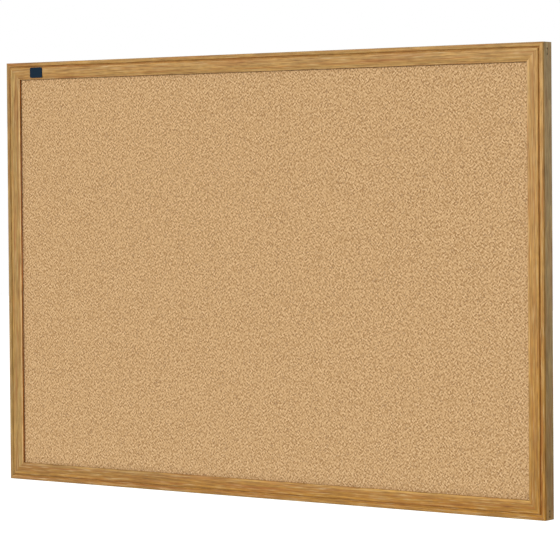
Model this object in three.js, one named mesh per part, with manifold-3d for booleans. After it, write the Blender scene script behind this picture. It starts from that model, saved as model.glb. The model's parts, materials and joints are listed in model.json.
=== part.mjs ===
// A wood-framed cork board that hangs on a wall by two ring hangers.
// Millimetres, +Z up, the cork faces -Y. The origin lies on the wall's face, midway
// between the axes that the two hanging rings swing about.
import * as THREE from 'three';
import { mergeVertices } from 'three/addons/utils/BufferGeometryUtils.js';
import Module from 'manifold-3d';

const wasm = await Module();
wasm.setup();

// Outer size of the frame
const boardWidth = 914.4;
const boardHeight = 609.6;

// Gaps: under seated pieces, in the glue between layers, in the mitres
const seatGap = 0.3;
const glueLine = 0.3;
const mitreGap = 0.3;

// How far a cutting shape runs past the face that it opens
const cutOverrun = 2;

// Frame moulding in section. Widths run in from the outer edge, depths run back from the front.
const railWidth = 24.7;
const frameDepth = 22.2;
const frontArris = 1;
const sideQuirkWidth = 2;
const sideQuirkDepth = 1;
const stripWidth = 4.9;
const quirkDepth = 1.8;
const quirkWallRun = 0.7;
const quirkFloor = 1.6;
const shoulderLean = 0.5;
const shoulderWidth = 2.3;
const thumbWidth = 6.3;
const thumbCrownShare = 0.62;
const filletWidth = 2.4;
const filletDepth = 1.1;
const innerArris = 0.5;
const lipThickness = 4;
const rebateWidth = 6.5;
const backArris = 0.8;
const mouldingCurveSegments = 7;

// Panel layers, from the front, and their play in the rebate
const corkThickness = 3;
const coreThickness = 9;
const backingThickness = 0.6;
const panelPlay = 0.5;
const backingInset = 2;

// Corner staples, driven through the stiles' side faces into the ends of the rails
const stapleCrown = 9;
const stapleWire = 1.2;
const stapleThickness = 0.9;
const stapleLeg = 18;
const stapleTip = 1.5;
const stapleBend = 0.6;
const stapleRecess = 1.2;
// Wood left between a staple and the rebate at the top, and the lower edge at the bottom
const stapleTopWood = 1.7;
const stapleBottomWood = 3.4;

// Steel points pressed into the rebate wall behind the panel
const pointWidth = 8;
const pointThickness = 0.8;
const pointEmbed = 6.5;
const pointReach = 8;
const pointTip = 2.5;
const pointTipShare = 0.35;
const railPointShares = [-0.375, -0.125, 0.125, 0.375];
const stilePointShares = [-0.25, 0, 0.25];

// Ring hangers on the backs of the stiles. hangerDrop is the ring axis below the top edge, and
// hangerInboard is how far past the middle of a stile's back the ring sits, out of sight.
const hangerDrop = 90;
const hangerInboard = 1.3;
const ringWire = 2;
const ringWidth = 17;
const ringArm = 3.5;
const ringBend = 2;
const ringJoint = 0.4;
const ringCurveSegments = 5;
const ringSteps = 48;
const eyePlay = 0.25;
const strapThickness = 0.9;
const strapWidth = 9;
const strapLength = 34;
const rollEndAngle = -115;
const strapCurveSegments = 14;

// Pan head screws with a cross recess, two to a strap. Drops are below the ring axis.
const screwDrops = [17, 28.5];
const screwLength = 12;
const shankRadius = 1.5;
const screwTip = 3;
const headRadius = 3;
const headHeight = 1.9;
const headEdge = 0.7;
const driveLength = 3.4;
const driveWidth = 0.8;
const driveDepth = 1.1;
const roundSegments = 24;

// Rubber bumpers glued to the backs of the rails, which stand on the wall
const bumperHeight = 5;
const bumperRadius = 5.5;
const bumperFaceRadius = 4.2;
const bumperRound = 1;
const bumperRoundSegments = 4;
const bumperInset = 40;

// Small plate on the face of the top rail near the left corner
const plateWidth = 23.2;
const plateHeight = 15;
const plateThickness = 0.6;
const plateCorner = 2.6;
const plateGap = 0.1;
const plateLeft = 46.4;
const plateTop = 7.4;

// Places that follow from the sizes above
const rebateWall = railWidth - rebateWidth;
const stapleTopInset = rebateWall - stapleTopWood - stapleCrown / 2;
const stapleBottomInset = stapleBottomWood + stapleCrown / 2;
const corkFront = lipThickness + seatGap;
const coreFront = corkFront + corkThickness + glueLine;
const backingFront = coreFront + coreThickness + glueLine;
const panelBack = backingFront + backingThickness;
const panelWidth = boardWidth - 2 * (rebateWall + panelPlay);
const panelHeight = boardHeight - 2 * (rebateWall + panelPlay);
const pointDepth = panelBack + seatGap + pointThickness / 2;
const backFaceMiddle = (backArris + rebateWall) / 2;
const hangerX = boardWidth / 2 - backFaceMiddle - hangerInboard;
const hangerZ = boardHeight / 2 - hangerDrop;
const eyeInner = ringWire / 2 + eyePlay;
const eyeOuter = eyeInner + strapThickness;
const wallDepth = frameDepth + bumperHeight;
const headSeat = seatGap + strapThickness + seatGap;
const quarter = Math.PI / 2;

// Colours and finishes
const oak = { color: '#c0965e', roughness: 0.5, metalness: 0 };
const cork = { color: '#c9a377', roughness: 0.95, metalness: 0 };
const fibreboard = { color: '#a08a68', roughness: 0.9, metalness: 0 };
const kraft = { color: '#b08c5e', roughness: 0.85, metalness: 0 };
const galvanised = { color: '#a8a9a6', roughness: 0.4, metalness: 1 };
const nickel = { color: '#c9c6bd', roughness: 0.25, metalness: 1 };
const rubber = { color: '#26272a', roughness: 0.7, metalness: 0 };
const enamel = { color: '#17324d', roughness: 0.35, metalness: 0 };

// The four sides of the frame. reach is the outer edge's distance from the board's middle,
// and turn swings the side about Y from the top to its place.
const rail = { length: boardWidth, reach: boardHeight / 2, pointShares: railPointShares };
const stile = { length: boardHeight, reach: boardWidth / 2, pointShares: stilePointShares };
const sides = [
  { ...rail, end: 'top', node: 'top_rail', turn: 0 },
  { ...stile, end: 'right', node: 'right_stile', turn: quarter },
  { ...rail, end: 'bottom', node: 'bottom_rail', turn: Math.PI },
  { ...stile, end: 'left', node: 'left_stile', turn: -quarter },
];

function toSolid(geometry) {
  const bare = geometry.clone();
  bare.deleteAttribute('normal');
  bare.deleteAttribute('uv');
  const merged = mergeVertices(bare);
  const vertProperties = new Float32Array(merged.getAttribute('position').array);
  const triVerts = new Uint32Array(merged.getIndex().array);
  return new wasm.Manifold(new wasm.Mesh({ numProp: 3, vertProperties, triVerts }));
}

function toGeometry(solid) {
  const { vertProperties, triVerts } = solid.getMesh();
  const indexed = new THREE.BufferGeometry();
  indexed.setAttribute('position', new THREE.BufferAttribute(vertProperties, 3));
  indexed.setIndex(new THREE.BufferAttribute(triVerts, 1));
  const faceted = indexed.toNonIndexed();
  faceted.computeVertexNormals();
  return faceted;
}

// One geometry less all the others
function cutAway(geometry, cutters) {
  let solid = toSolid(geometry);
  for (const cutter of cutters) {
    solid = solid.subtract(toSolid(cutter));
  }
  return toGeometry(solid);
}

function makeMesh(name, geometry, finish) {
  const mesh = new THREE.Mesh(geometry, new THREE.MeshStandardMaterial(finish));
  mesh.name = name;
  return mesh;
}

// A flat piece: its outline lies in the X-Z plane and its thickness is centred on Y
function flatPiece(outline, thickness, curveSegments = 1) {
  const options = { depth: thickness, bevelEnabled: false, curveSegments };
  const geometry = new THREE.ExtrudeGeometry(outline, options);
  geometry.translate(0, 0, -thickness / 2);
  geometry.rotateX(quarter);
  return geometry;
}

// The moulding's section: x runs in from the outer edge, y runs back from the front
function mouldingOutline() {
  const sideQuirkEnd = frontArris + sideQuirkWidth;
  const floorStart = stripWidth + quirkWallRun;
  const floorEnd = floorStart + quirkFloor;
  const bandStart = floorEnd + shoulderWidth;
  const filletStart = railWidth - filletWidth;
  const bandEnd = filletStart - thumbWidth;
  const thumbCrown = bandEnd + thumbWidth * thumbCrownShare;
  const arrisCentre = railWidth - innerArris;
  const outline = new THREE.Shape();
  outline.moveTo(0, frameDepth - backArris);
  outline.lineTo(0, sideQuirkEnd);
  outline.lineTo(sideQuirkDepth, sideQuirkEnd - sideQuirkWidth / 2);
  outline.absarc(frontArris, frontArris, frontArris, Math.PI, 3 * quarter);
  outline.lineTo(stripWidth, 0);
  outline.lineTo(floorStart, quirkDepth);
  outline.lineTo(floorEnd, quirkDepth);
  outline.quadraticCurveTo(floorEnd + shoulderLean, 0, bandStart, 0);
  outline.lineTo(bandEnd, 0);
  outline.quadraticCurveTo(thumbCrown, 0, filletStart, filletDepth);
  outline.absarc(arrisCentre, filletDepth + innerArris, innerArris, -quarter, 0);
  outline.lineTo(railWidth, lipThickness);
  outline.lineTo(rebateWall, lipThickness);
  outline.lineTo(rebateWall, frameDepth);
  outline.lineTo(backArris, frameDepth);
  outline.closePath();
  return outline;
}

// A length of moulding along X, mitred at both ends. Its outer edge lies at z = 0.
function mitredMoulding(length) {
  const options = { depth: length, bevelEnabled: false, curveSegments: mouldingCurveSegments };
  const geometry = new THREE.ExtrudeGeometry(mouldingOutline(), options);
  geometry.translate(0, 0, -length / 2);
  geometry.rotateY(quarter);
  const position = geometry.getAttribute('position');
  const setback = mitreGap / Math.SQRT2;
  for (let i = 0; i < position.count; i += 1) {
    const x = position.getX(i);
    const shorter = setback - position.getZ(i);
    position.setX(i, x - Math.sign(x) * shorter);
  }
  geometry.computeVertexNormals();
  return geometry;
}

function sideMatrix({ reach, turn }) {
  const matrix = new THREE.Matrix4().makeRotationY(turn);
  matrix.setPosition(reach * Math.sin(turn), 0, reach * Math.cos(turn));
  return matrix;
}

// A staple with its crown on z = 0 and its legs pointing down
function stapleGeometry() {
  const half = stapleCrown / 2;
  const inner = half - stapleWire;
  const tipStart = stapleTip - stapleLeg;
  const outline = new THREE.Shape();
  outline.moveTo(-half, tipStart);
  outline.lineTo(-half + stapleWire / 2, -stapleLeg);
  outline.lineTo(-inner, tipStart);
  outline.lineTo(-inner, -stapleWire);
  outline.lineTo(inner, -stapleWire);
  outline.lineTo(inner, tipStart);
  outline.lineTo(half - stapleWire / 2, -stapleLeg);
  outline.lineTo(half, tipStart);
  outline.absarc(half - stapleBend, -stapleBend, stapleBend, 0, quarter);
  outline.absarc(stapleBend - half, -stapleBend, stapleBend, quarter, Math.PI);
  outline.closePath();
  return flatPiece(outline, stapleThickness, mouldingCurveSegments);
}

// The slot that a driven staple leaves, open at the crown
function stapleSlot() {
  const half = stapleCrown / 2 + seatGap;
  const inner = stapleCrown / 2 - stapleWire - seatGap;
  const floor = -stapleLeg - seatGap;
  const ledge = -stapleWire - seatGap;
  const outline = new THREE.Shape();
  outline.moveTo(-half, floor);
  outline.lineTo(-inner, floor);
  outline.lineTo(-inner, ledge);
  outline.lineTo(inner, ledge);
  outline.lineTo(inner, floor);
  outline.lineTo(half, floor);
  outline.lineTo(half, cutOverrun);
  outline.lineTo(-half, cutOverrun);
  outline.closePath();
  return flatPiece(outline, stapleThickness + 2 * seatGap);
}

// Each stile holds one staple near each end. along is measured on the stile's own length,
// which runs down on the right and up on the left.
function staplePlaces({ end, length }) {
  const direction = end === 'right' ? -1 : 1;
  return [
    { corner: `top_${end}`, along: direction * (length / 2 - stapleTopInset) },
    { corner: `bottom_${end}`, along: -direction * (length / 2 - stapleBottomInset) },
  ];
}

const stiles = sides.filter(({ end }) => end === 'left' || end === 'right');
const stapleDepth = frameDepth / 2;

// The staples' slots in the board's frame, where each stile and rail shares them
function stapleSlots() {
  const slots = [];
  for (const side of stiles) {
    for (const { along } of staplePlaces(side)) {
      const slot = stapleSlot();
      slot.translate(along, stapleDepth, -stapleRecess);
      slot.applyMatrix4(sideMatrix(side));
      slots.push(slot);
    }
  }
  return slots;
}

// The screws' pilot holes in the board's frame
function pilotHoles() {
  const holes = [];
  const depth = screwLength - headSeat + seatGap;
  for (const hand of [-1, 1]) {
    for (const drop of screwDrops) {
      const radius = shankRadius + seatGap;
      const hole = new THREE.CylinderGeometry(radius, radius, depth + cutOverrun, roundSegments);
      hole.translate(hand * hangerX, frameDepth + (cutOverrun - depth) / 2, hangerZ - drop);
      holes.push(hole);
    }
  }
  return holes;
}

// The slots that a side's steel points are pressed into, in the side's own frame
function pointSlots({ length, pointShares }) {
  return pointShares.map((share) => {
    const span = pointEmbed + seatGap + cutOverrun;
    const width = pointWidth + 2 * seatGap;
    const slot = new THREE.BoxGeometry(width, pointThickness + 2 * seatGap, span);
    slot.translate(share * length, pointDepth, -rebateWall - cutOverrun + span / 2);
    return slot;
  });
}

function pointGeometry() {
  const half = pointWidth / 2;
  const tipHalf = half * pointTipShare;
  const outline = new THREE.Shape();
  outline.moveTo(-half, -pointReach);
  outline.lineTo(half, -pointReach);
  outline.lineTo(half, pointEmbed - pointTip);
  outline.lineTo(tipHalf, pointEmbed);
  outline.lineTo(-tipHalf, pointEmbed);
  outline.lineTo(-half, pointEmbed - pointTip);
  outline.closePath();
  return flatPiece(outline, pointThickness);
}

// One side of the frame with the points, and on a stile the corner staples, that it holds
function makeSide(side) {
  const group = new THREE.Group();
  group.rotation.y = side.turn;
  group.position.setFromMatrixPosition(sideMatrix(side));
  const toSide = sideMatrix(side).invert();
  const shared = [...stapleSlots(), ...pilotHoles()].map((cutter) => cutter.applyMatrix4(toSide));
  const cutters = [...shared, ...pointSlots(side)];
  group.add(makeMesh(side.node, cutAway(mitredMoulding(side.length), cutters), oak));
  side.pointShares.forEach((share, index) => {
    const point = makeMesh(`retaining_point_${side.end}_${index + 1}`, pointGeometry(), galvanised);
    point.position.set(share * side.length, pointDepth, -rebateWall);
    group.add(point);
  });
  if (stiles.includes(side)) {
    for (const { corner, along } of staplePlaces(side)) {
      const staple = makeMesh(`corner_staple_${corner}`, stapleGeometry(), galvanised);
      staple.position.set(along, stapleDepth, -stapleRecess);
      group.add(staple);
    }
  }
  return group;
}

// Cork, core and backing, glued in a stack that drops into the rebate from behind
function makePanel() {
  const group = new THREE.Group();
  const backingWidth = panelWidth - 2 * backingInset;
  const backingHeight = panelHeight - 2 * backingInset;
  const addLayer = (name, width, height, thickness, front, finish) => {
    const layer = makeMesh(name, new THREE.BoxGeometry(width, thickness, height), finish);
    layer.position.y = front + thickness / 2;
    group.add(layer);
  };
  addLayer('cork_sheet', panelWidth, panelHeight, corkThickness, corkFront, cork);
  addLayer('fibreboard_core', panelWidth, panelHeight, coreThickness, coreFront, fibreboard);
  addLayer('backing_sheet', backingWidth, backingHeight, backingThickness, backingFront, kraft);
  return group;
}

function roundedRectangle(width, height, radius) {
  const x = width / 2 - radius;
  const z = height / 2 - radius;
  const outline = new THREE.Shape();
  outline.absarc(x, -z, radius, -quarter, 0);
  outline.absarc(x, z, radius, 0, quarter);
  outline.absarc(-x, z, radius, quarter, Math.PI);
  outline.absarc(-x, -z, radius, Math.PI, 3 * quarter);
  outline.closePath();
  return outline;
}

function makePlate() {
  const outline = roundedRectangle(plateWidth, plateHeight, plateCorner);
  const geometry = flatPiece(outline, plateThickness, mouldingCurveSegments);
  const plate = makeMesh('face_plate', geometry, enamel);
  const x = plateLeft + plateWidth / 2 - boardWidth / 2;
  const z = boardHeight / 2 - plateTop - plateHeight / 2;
  plate.position.set(x, -plateGap - plateThickness / 2, z);
  return plate;
}

// The strap seen from the side: x runs back from the frame, y runs up, the ring's axis is at 0.
// The strip lies on the frame, then rolls round the ring's bar and stops short of itself.
function strapSideOutline() {
  const end = THREE.MathUtils.degToRad(rollEndAngle);
  const outline = new THREE.Shape();
  outline.moveTo(-eyeInner, -strapLength);
  outline.lineTo(-eyeOuter, -strapLength);
  outline.absarc(0, 0, eyeOuter, Math.PI, end, true);
  outline.absarc(0, 0, eyeInner, end, Math.PI);
  outline.closePath();
  return outline;
}

// The strap seen from behind: square at the eye, round at the lower end
function strapPlanOutline() {
  const half = strapWidth / 2;
  const outline = new THREE.Shape();
  outline.moveTo(half, eyeOuter + cutOverrun);
  outline.lineTo(-half, eyeOuter + cutOverrun);
  outline.absarc(0, half - strapLength, half, Math.PI, 2 * Math.PI);
  outline.closePath();
  return outline;
}

function strapGeometry() {
  const depth = strapWidth + cutOverrun;
  const options = { depth, bevelEnabled: false, curveSegments: strapCurveSegments };
  const rolled = new THREE.ExtrudeGeometry(strapSideOutline(), options);
  rolled.translate(0, 0, -depth / 2);
  rolled.rotateY(quarter);
  rolled.rotateX(quarter);
  const plan = flatPiece(strapPlanOutline(), 2 * eyeOuter + cutOverrun, strapCurveSegments);
  const shaped = toGeometry(toSolid(rolled).intersect(toSolid(plan)));
  const holeRadius = shankRadius + seatGap;
  const holes = screwDrops.map((drop) => {
    const hole = new THREE.CylinderGeometry(holeRadius, holeRadius, 2 * eyeOuter, roundSegments);
    hole.translate(0, -eyeOuter, -drop);
    return hole;
  });
  return cutAway(shaped, holes);
}

// The ring's centre line, in the X-Z plane: a bar along X whose middle holds the wire's two
// ends, two arms and a half circle
class RingLine extends THREE.Curve {
  constructor() {
    super();
    const half = (ringWidth - ringWire) / 2;
    const bend = half - ringBend;
    this.path = new THREE.Path();
    this.path.moveTo(ringJoint / 2, 0);
    this.path.absarc(bend, -ringBend, ringBend, quarter, 0, true);
    this.path.absarc(0, -ringArm, half, 0, -Math.PI, true);
    this.path.absarc(-bend, -ringBend, ringBend, Math.PI, quarter, true);
    this.path.lineTo(-ringJoint / 2, 0);
  }

  getPoint(share, target = new THREE.Vector3()) {
    const point = this.path.getPoint(share);
    return target.set(point.x, 0, point.y);
  }
}

function ringGeometry() {
  const section = new THREE.Shape();
  section.absarc(0, 0, ringWire / 2, 0, 2 * Math.PI);
  const extrudePath = new RingLine();
  const options = { steps: ringSteps, curveSegments: ringCurveSegments, extrudePath };
  return new THREE.ExtrudeGeometry(section, options);
}

// A screw with its head's underside on y = 0 and its tip towards -Y
function screwGeometry() {
  const profile = [
    new THREE.Vector2(0, -screwLength),
    new THREE.Vector2(shankRadius, screwTip - screwLength),
    new THREE.Vector2(shankRadius, 0),
    new THREE.Vector2(headRadius, 0),
    new THREE.Vector2(headRadius, headEdge),
  ];
  const rise = headHeight - headEdge;
  const crown = new THREE.QuadraticBezierCurve(
    new THREE.Vector2(headRadius, headEdge),
    new THREE.Vector2(headRadius, headEdge + rise),
    new THREE.Vector2(0, headEdge + rise),
  );
  profile.push(...crown.getPoints(mouldingCurveSegments).slice(1));
  const turned = new THREE.LatheGeometry(profile, roundSegments);
  const drives = [0, quarter].map((turn) => {
    const drive = new THREE.BoxGeometry(driveLength, 2 * driveDepth, driveWidth);
    drive.rotateY(turn);
    drive.translate(0, headHeight, 0);
    return drive;
  });
  return cutAway(turned, drives);
}

// A hanger: strap, ring and two screws, placed on the ring's axis
function makeHanger(hand, end) {
  const group = new THREE.Group();
  group.position.set(hand * hangerX, frameDepth + seatGap + eyeOuter, hangerZ);
  group.add(makeMesh(`hanger_strap_${end}`, strapGeometry(), nickel));
  group.add(makeMesh(`hanger_ring_${end}`, ringGeometry(), nickel));
  ['upper', 'lower'].forEach((level, index) => {
    const screw = makeMesh(`hanger_screw_${end}_${level}`, screwGeometry(), nickel);
    screw.position.set(0, seatGap - eyeInner, -screwDrops[index]);
    group.add(screw);
  });
  return group;
}

// A bumper with its glued face on y = 0 and its round edge towards the wall
function bumperGeometry() {
  const height = bumperHeight - glueLine;
  const taper = (bumperRadius - bumperFaceRadius) / height;
  const crown = new THREE.QuadraticBezierCurve(
    new THREE.Vector2(bumperFaceRadius + bumperRound * taper, height - bumperRound),
    new THREE.Vector2(bumperFaceRadius, height),
    new THREE.Vector2(bumperFaceRadius - bumperRound, height),
  );
  const profile = [
    new THREE.Vector2(0, 0),
    new THREE.Vector2(bumperRadius, 0),
    ...crown.getPoints(bumperRoundSegments),
    new THREE.Vector2(0, height),
  ];
  return new THREE.LatheGeometry(profile, roundSegments);
}

function makeBumper(hand, end, rise, level) {
  const bumper = makeMesh(`wall_bumper_${level}_${end}`, bumperGeometry(), rubber);
  const x = hand * (boardWidth / 2 - bumperInset);
  const z = rise * (boardHeight / 2 - backFaceMiddle);
  bumper.position.set(x, frameDepth + glueLine, z);
  return bumper;
}

const board = new THREE.Group();
board.position.set(0, -wallDepth, -hangerZ);
for (const side of sides) {
  board.add(makeSide(side));
}
board.add(makePanel());
board.add(makePlate());
for (const [hand, end] of [[-1, 'left'], [1, 'right']]) {
  board.add(makeHanger(hand, end));
  board.add(makeBumper(hand, end, 1, 'top'));
  board.add(makeBumper(hand, end, -1, 'bottom'));
}

const corkBoard = new THREE.Group();
corkBoard.add(board);
export default corkBoard;
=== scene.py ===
import json
import math

import bmesh
import bpy
from mathutils import Matrix, Vector


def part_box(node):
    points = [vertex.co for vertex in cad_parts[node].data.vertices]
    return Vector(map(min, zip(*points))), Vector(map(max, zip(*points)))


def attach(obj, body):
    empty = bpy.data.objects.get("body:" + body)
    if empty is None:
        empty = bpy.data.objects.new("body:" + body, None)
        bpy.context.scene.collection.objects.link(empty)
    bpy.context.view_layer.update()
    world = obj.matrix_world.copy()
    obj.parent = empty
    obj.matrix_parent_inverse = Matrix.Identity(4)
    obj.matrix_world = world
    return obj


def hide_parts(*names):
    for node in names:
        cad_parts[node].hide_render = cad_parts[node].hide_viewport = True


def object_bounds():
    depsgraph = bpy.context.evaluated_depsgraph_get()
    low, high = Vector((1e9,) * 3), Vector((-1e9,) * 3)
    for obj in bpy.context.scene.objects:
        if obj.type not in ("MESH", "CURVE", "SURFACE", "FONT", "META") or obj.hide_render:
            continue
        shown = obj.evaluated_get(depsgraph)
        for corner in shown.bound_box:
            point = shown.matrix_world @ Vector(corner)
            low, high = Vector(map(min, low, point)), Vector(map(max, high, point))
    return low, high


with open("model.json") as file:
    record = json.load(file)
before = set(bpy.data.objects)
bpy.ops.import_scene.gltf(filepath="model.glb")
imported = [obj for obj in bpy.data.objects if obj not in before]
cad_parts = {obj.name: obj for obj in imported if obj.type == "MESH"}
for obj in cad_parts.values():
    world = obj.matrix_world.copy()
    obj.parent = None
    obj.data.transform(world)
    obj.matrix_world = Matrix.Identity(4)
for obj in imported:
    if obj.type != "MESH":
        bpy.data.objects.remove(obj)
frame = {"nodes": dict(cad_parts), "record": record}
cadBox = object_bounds()

mm = 0.001
noiseLevels = {"From Min": 0.3, "From Max": 0.7}   # nearly all of a noise texture lies between these


def linear(hexCode):
    # sRGB hex to the linear values that the shader sockets take
    channels = [int(hexCode[i:i + 2], 16) / 255 for i in (1, 3, 5)]
    return [c / 12.92 if c <= 0.04045 else ((c + 0.055) / 1.055) ** 2.4 for c in channels] + [1]


def bandScale(spacing):
    # the scale at which a wave texture's bands lie this far apart
    return math.pi / 10 / spacing


def addNode(tree, kind, settings=None, links=None, stops=None):
    # settings name a socket (by name or number) or one of the node's own options, links are fed sockets,
    # and stops are a ramp's positions with their colours or levels, in order
    node = tree.nodes.new(kind)
    for key, value in (settings or {}).items():
        if isinstance(key, int) or not hasattr(node, key):
            node.inputs[key].default_value = value
        else:
            setattr(node, key, value)
    for key, source in (links or {}).items():
        tree.links.new(source, node.inputs[key])
    if stops:
        elements = node.color_ramp.elements
        for position, level in stops[1:-1]:
            elements.new(position)
        for element, (position, level) in zip(elements, stops):
            element.position = position
            element.color = linear(level) if isinstance(level, str) else (level, level, level, 1)
    return node


def newMaterial(name):
    material = bpy.data.materials.new(name)
    material.use_nodes = True
    material.node_tree.nodes.clear()
    return material, material.node_tree


def finishMaterial(tree, shader):
    addNode(tree, "ShaderNodeOutputMaterial", links={"Surface": shader.outputs[0]})


def bodyOf(nodeName):
    bodies = frame["record"]["behaviour"]["bodies"]
    return next(body for body, names in bodies.items() if nodeName in names)


def nodesNamed(*starts):
    return [name for name in frame["nodes"] if name.startswith(starts)]


def dress(nodeName, material):
    materials = frame["nodes"][nodeName].data.materials
    materials.clear()
    materials.append(material)


# Camera: level with the upper third of the board, from its right
cameraFit = {
    "azimuth": 36.615,       # degrees round from the front towards +X
    "elevation": 1.352,
    "roll": -0.450,
    "fromFrameCentre": (2.2605, -2.9881, 0.1377),   # metres from the middle of the frame's front
    "frameCentre": (0, -0.0272, -0.2148),
    "focalPixels": 2737.8,
    "framePixels": 560,
    "centreRow": 240,        # the row of the picture that the lens axis meets
    "sensorWidth": 36,
    "farClip": 100,
}


def makeCamera(fit):
    azimuth = math.radians(fit["azimuth"])
    elevation = math.radians(fit["elevation"])
    roll = math.radians(fit["roll"])
    back = Vector((math.sin(azimuth) * math.cos(elevation), -math.cos(azimuth) * math.cos(elevation),
                   math.sin(elevation)))
    right = (-back).cross(Vector((0, 0, 1))).normalized()
    up = right.cross(-back)
    turnedRight = math.cos(roll) * right + math.sin(roll) * up
    turnedUp = math.cos(roll) * up - math.sin(roll) * right
    data = bpy.data.cameras.new("camera")
    data.sensor_width = fit["sensorWidth"]
    data.lens = fit["focalPixels"] / fit["framePixels"] * data.sensor_width
    data.shift_y = (fit["centreRow"] - fit["framePixels"] / 2) / fit["framePixels"]
    data.clip_end = fit["farClip"]
    camera = bpy.data.objects.new("camera", data)
    turn = Matrix((turnedRight, turnedUp, back)).transposed().to_4x4()
    place = Vector(fit["fromFrameCentre"]) + Vector(fit["frameCentre"])
    camera.matrix_world = Matrix.Translation(place) @ turn
    bpy.context.scene.collection.objects.link(camera)
    bpy.context.scene.camera = camera


makeCamera(cameraFit)
bpy.context.scene.view_settings.view_transform = "Standard"
print("camera placed")

# Light: a soft key from the front left and above, a weaker one behind, an even white room, a pale floor
studio = {
    "suns": {
        "key": {"comesFrom": (-0.432, -0.847, 0.309), "strength": 2.2, "angle": 8},
        "rear": {"comesFrom": (-0.10, 0.92, 0.38), "strength": 1.3, "angle": 20},
    },
    "roomStrength": 0.40,
    "whiteStrength": 1,      # what the camera and reflections see of the room
    "floorDrop": 0.9,        # the board hangs this far above the floor
    "floorSize": 40,
    "floorColour": "#e6e6e4",
    "floorGlow": 0.62,       # what the floor adds where it is seen directly, so that only shadows stay grey
}


def makeSun(name, settings):
    data = bpy.data.lights.new(name, "SUN")
    data.energy = settings["strength"]
    data.angle = math.radians(settings["angle"])
    lamp = bpy.data.objects.new(name, data)
    lamp.rotation_euler = Vector(settings["comesFrom"]).to_track_quat("Z", "Y").to_euler()
    bpy.context.scene.collection.objects.link(lamp)


def seenDirectly(tree):
    # 1 for rays from the camera and for reflected or refracted ones, 0 for diffuse light
    path = addNode(tree, "ShaderNodeLightPath")
    some = addNode(tree, "ShaderNodeMath", {"operation": "MAXIMUM"},
                   {0: path.outputs["Is Camera Ray"], 1: path.outputs["Is Glossy Ray"]})
    return addNode(tree, "ShaderNodeMath", {"operation": "MAXIMUM"},
                   {0: some.outputs[0], 1: path.outputs["Is Transmission Ray"]})


def makeRoom(settings):
    world = bpy.data.worlds.new("room")
    bpy.context.scene.world = world
    world.use_nodes = True
    tree = world.node_tree
    tree.nodes.clear()
    ambient, white = [
        addNode(tree, "ShaderNodeBackground", {"Color": (1, 1, 1, 1), "Strength": settings[strength]})
        for strength in ("roomStrength", "whiteStrength")]
    both = addNode(tree, "ShaderNodeMixShader", links={
        0: seenDirectly(tree).outputs[0], 1: ambient.outputs[0], 2: white.outputs[0]})
    addNode(tree, "ShaderNodeOutputWorld", links={"Surface": both.outputs[0]})


def makeFloor(settings):
    bpy.ops.mesh.primitive_plane_add(size=settings["floorSize"])
    floor = bpy.context.object
    floor.name = "floor"
    floor.location.z = cadBox[0][2] - settings["floorDrop"]
    material, tree = newMaterial("matt white studio floor")
    paper = addNode(tree, "ShaderNodeBsdfDiffuse", {"Color": linear(settings["floorColour"])})
    glow = addNode(tree, "ShaderNodeEmission", {"Strength": settings["floorGlow"]})
    lit = addNode(tree, "ShaderNodeAddShader", links={0: paper.outputs[0], 1: glow.outputs[0]})
    both = addNode(tree, "ShaderNodeMixShader", links={
        0: seenDirectly(tree).outputs[0], 1: paper.outputs[0], 2: lit.outputs[0]})
    finishMaterial(tree, both)
    floor.data.materials.append(material)


for sunName, sunSettings in studio["suns"].items():
    makeSun(sunName, sunSettings)
makeRoom(studio)
makeFloor(studio)
print("light and floor ready")

# A CAD node's mesh is loose triangles, so a copy of it is welded and its flat faces are joined first
refining = {
    "weldUpTo": 0.002 * mm,
    "flatUpTo": 2,           # degrees between two triangles that make one flat face
    "cornerUpTo": 60,        # degrees that a corner of the joined face may be off square
    "bevelSegments": 2,
}


def refinedCopy(nodeName, material, smoothUpTo=25, bevel=0, levels=0):
    # a merged copy of a CAD node with smooth curves and eased edges, which stands for the node
    mesh = frame["nodes"][nodeName].data.copy()
    shape = bmesh.new()
    shape.from_mesh(mesh)
    bmesh.ops.remove_doubles(shape, verts=shape.verts, dist=refining["weldUpTo"])
    bmesh.ops.join_triangles(shape, faces=shape.faces,
                             angle_face_threshold=math.radians(refining["flatUpTo"]),
                             angle_shape_threshold=math.radians(refining["cornerUpTo"]))
    shape.to_mesh(mesh)
    shape.free()
    mesh.materials.clear()
    mesh.materials.append(material)
    mesh.shade_smooth()
    mesh.set_sharp_from_angle(angle=math.radians(smoothUpTo))
    piece = bpy.data.objects.new(nodeName + "_finished", mesh)
    bpy.context.scene.collection.objects.link(piece)
    if bevel:
        ease = piece.modifiers.new("eased edges", "BEVEL")
        ease.width = bevel
        ease.segments = refining["bevelSegments"]
        ease.limit_method = "ANGLE"
        ease.angle_limit = math.radians(smoothUpTo)
        ease.harden_normals = True
    if levels:
        curve = piece.modifiers.new("round", "SUBSURF")
        curve.levels = levels
        curve.render_levels = levels
    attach(piece, bodyOf(nodeName))
    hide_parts(nodeName)
    return piece


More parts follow.
